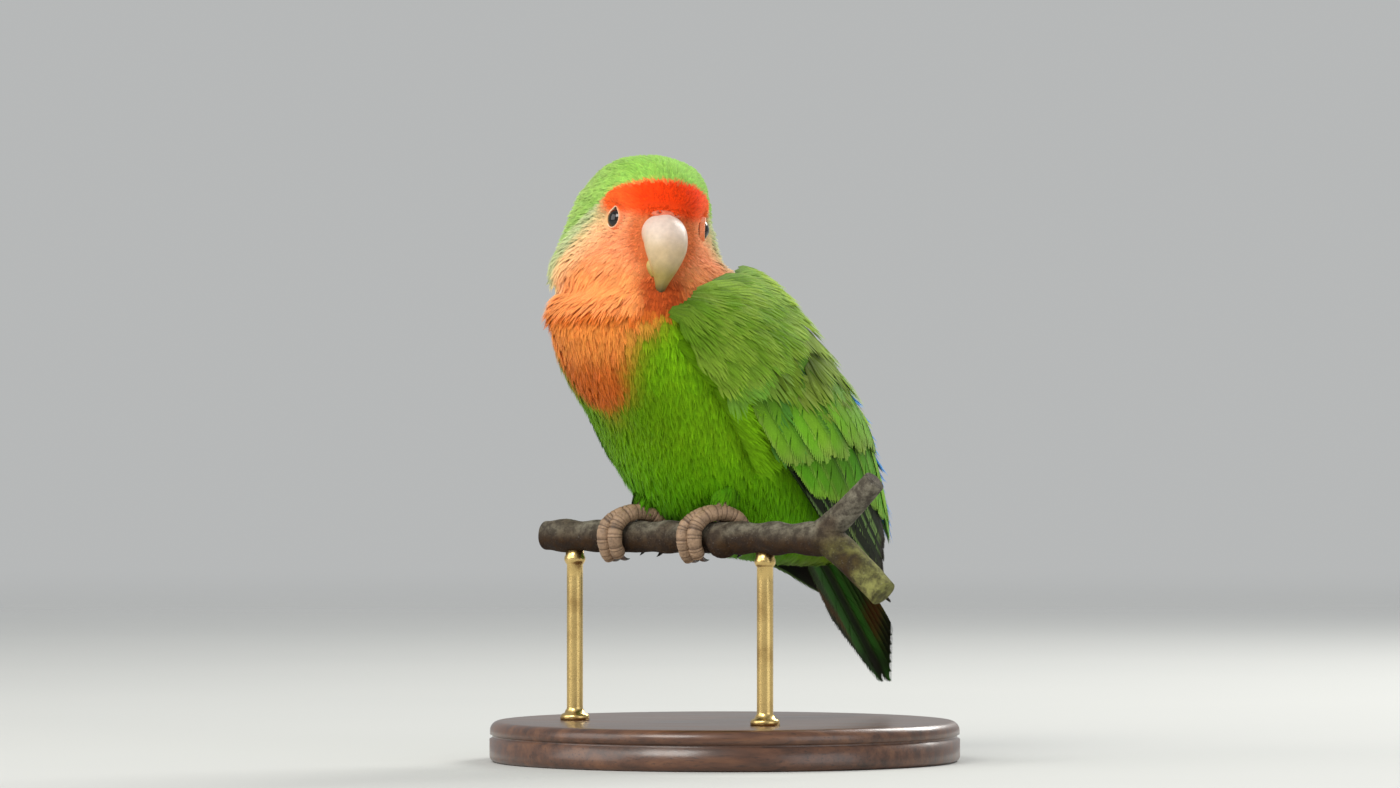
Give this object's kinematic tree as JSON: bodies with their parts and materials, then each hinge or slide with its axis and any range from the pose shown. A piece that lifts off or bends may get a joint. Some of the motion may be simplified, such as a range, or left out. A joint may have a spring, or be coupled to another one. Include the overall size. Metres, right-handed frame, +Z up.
{
  "type": "peach-faced lovebird, museum model on a perch",
  "caption": "Life-size still model of a small stout parrot, head turned over its left shoulder, gripping a cut length of branch on a round display stand.",
  "frame": {"origin": "middle of the display base's underside", "axes": "+Z up; the picture is seen along +Y, with +X to its right; the bird's body faces -X and -Y, and its head faces -Y"},
  "size_m": [0.116, 0.116, 0.1493],
  "materials": {
    "head_feathers": "small soft feathers, orange-red brow, peach face, green crown",
    "neck_feathers": "small soft feathers, peach to orange bib, green nape",
    "torso_feathers": "soft body feathers, bright green, blue rump",
    "wing_feathers": "overlapping vanes, green with dark edges and tips",
    "tail_feathers": "long vanes, dark green and black-brown",
    "foot_skin": "grey-pink scuted skin",
    "claw_horn": "dark horn",
    "eye": "wet, near black",
    "bill_horn": "satin ivory horn, olive at the tip",
    "bark": "rough grey-brown bark, bare wood on the cut ends",
    "stand_wood": "dark stained and waxed",
    "stand_brass": "satin"
  },
  "bodies": {
    "root": {"head": "head_feathers", "neck": "neck_feathers", "torso": "torso_feathers", "wing_left": "wing_feathers", "wing_right": "wing_feathers", "tail": "tail_feathers", "leg_left": "foot_skin", "leg_right": "foot_skin", "claw_left_1": "claw_horn", "claw_left_2": "claw_horn", "claw_left_3": "claw_horn", "claw_left_4": "claw_horn", "claw_right_1": "claw_horn", "claw_right_2": "claw_horn", "claw_right_3": "claw_horn", "claw_right_4": "claw_horn", "eye_left": "eye", "eye_right": "eye", "bill_upper": "bill_horn", "bill_lower": "bill_horn", "perch": "bark", "perch_twig": "bark", "stand_base": "stand_wood", "stand_rod_left": "stand_brass", "stand_rod_right": "stand_brass"}
  },
  "joints": []
}
